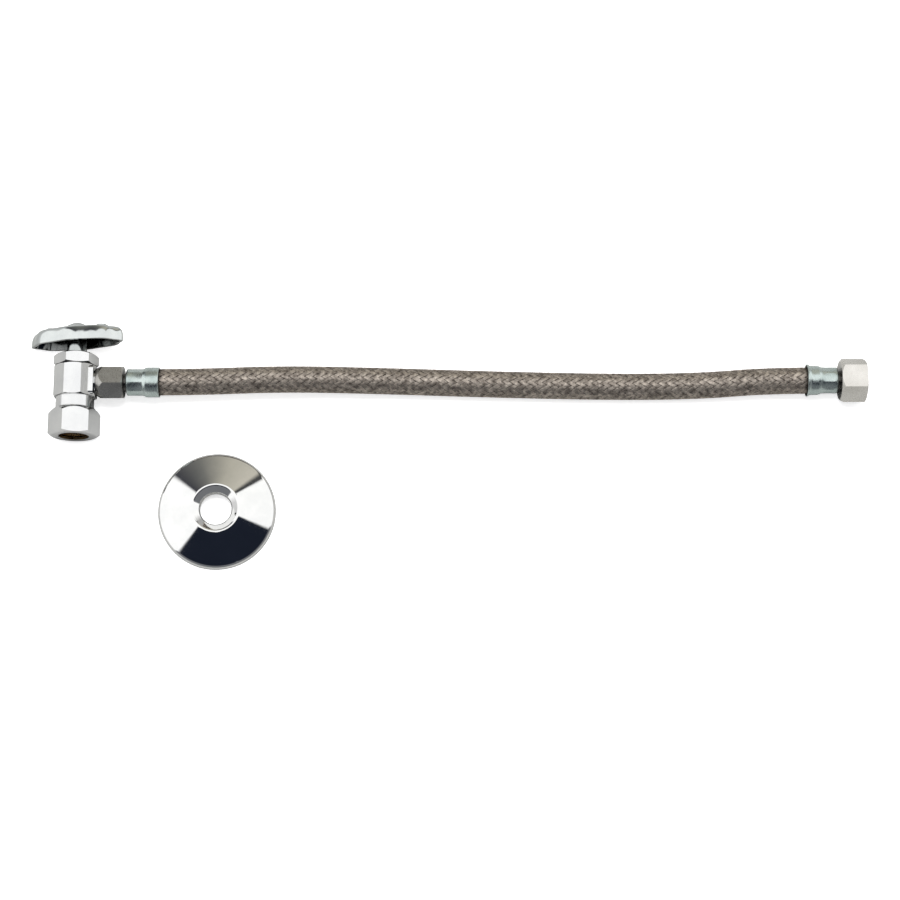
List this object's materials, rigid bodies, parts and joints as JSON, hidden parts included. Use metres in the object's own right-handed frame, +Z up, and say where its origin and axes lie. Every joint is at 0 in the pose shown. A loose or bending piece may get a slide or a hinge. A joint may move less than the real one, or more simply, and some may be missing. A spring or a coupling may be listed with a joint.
{
  "type": "braided supply line with angle stop valve",
  "caption": "Chrome angle stop valve with an oval handle, joined to a braided flexible hose that ends in a swivel nut, with a loose round wall plate.",
  "frame": {"origin": "on the table, under the middle of the whole set", "axes": "+Z up, +X along the valve's outlet and the hose, +Y along the valve's stem towards the handle"},
  "size_m": [0.4533, 0.1334, 0.027],
  "materials": {
    "chrome": "mirror-bright plating over brass",
    "chrome_sheet": "mirror-bright plating over thin sheet",
    "satin_nickel": "satin grey plating",
    "warm_nickel": "smooth warm silver plating",
    "zinc_plate": "bright zinc with a cool tint, crimped",
    "braid": "woven stainless wire",
    "brass": "machined",
    "screw_steel": "bright plating",
    "liner": "smooth vinyl",
    "rubber": "moulded black rubber"
  },
  "bodies": {
    "valve_and_hose": {"valve_body": "chrome", "packing_nut": "chrome", "stem_packing": "rubber", "packing_ring": "brass", "outlet_cone_washer": "rubber", "valve_end_insert": "satin_nickel", "valve_end_ferrule": "zinc_plate", "hose_liner": "liner", "hose_braid": "braid", "faucet_end_ferrule": "zinc_plate", "faucet_end_insert": "satin_nickel", "faucet_washer": "rubber"},
    "seat_washer": {"seat_washer": "rubber"},
    "handle": {"handle": "chrome", "handle_screw": "screw_steel", "stem": "brass", "seat_washer_screw": "brass"},
    "compression_sleeve": {"compression_sleeve": "brass"},
    "compression_nut": {"compression_nut": "chrome"},
    "coupling_nut": {"coupling_nut": "satin_nickel"},
    "faucet_nut": {"faucet_nut": "warm_nickel"},
    "escutcheon": {"escutcheon": "chrome_sheet"}
  },
  "joints": [
    {"name": "stem_travel", "type": "slide", "parent": "valve_and_hose", "child": "seat_washer", "axis": [0, 1, 0], "range_m": [0, 0.00477]},
    {"name": "handle_turn", "type": "hinge", "parent": "seat_washer", "child": "handle", "pos_m": [-0.20064, 0.03363, 0.01347], "axis": [0, 1, 0], "range_deg": [0, 1080]},
    {"name": "sleeve_travel", "type": "slide", "parent": "valve_and_hose", "child": "compression_sleeve", "axis": [0, -1, 0], "range_m": [0, 0.00707]},
    {"name": "compression_nut_turn", "type": "hinge", "parent": "compression_sleeve", "child": "compression_nut", "pos_m": [-0.20064, 0.03363, 0.01347], "axis": [0, -1, 0], "range_deg": [0, 1800]},
    {"name": "coupling_nut_turn", "type": "hinge", "parent": "valve_and_hose", "child": "coupling_nut", "pos_m": [-0.20064, 0.03363, 0.01347], "axis": [1, 0, 0], "range_deg": [0, 540]},
    {"name": "faucet_nut_swivel", "type": "hinge", "parent": "valve_and_hose", "child": "faucet_nut", "pos_m": [0.21936, 0.03553, 0.01052], "axis": [1, 0, 0], "continuous": true},
    {"name": "escutcheon_lift", "type": "slide", "parent": "valve_and_hose", "child": "escutcheon", "axis": [0, 0, 1], "range_m": [0, 0.03]}
  ],
  "couplings": [
    {"joint": "stem_travel", "follows": "handle_turn", "m_per_rad": 0.00025266},
    {"joint": "sleeve_travel", "follows": "compression_nut_turn", "m_per_rad": 0.00022457}
  ]
}
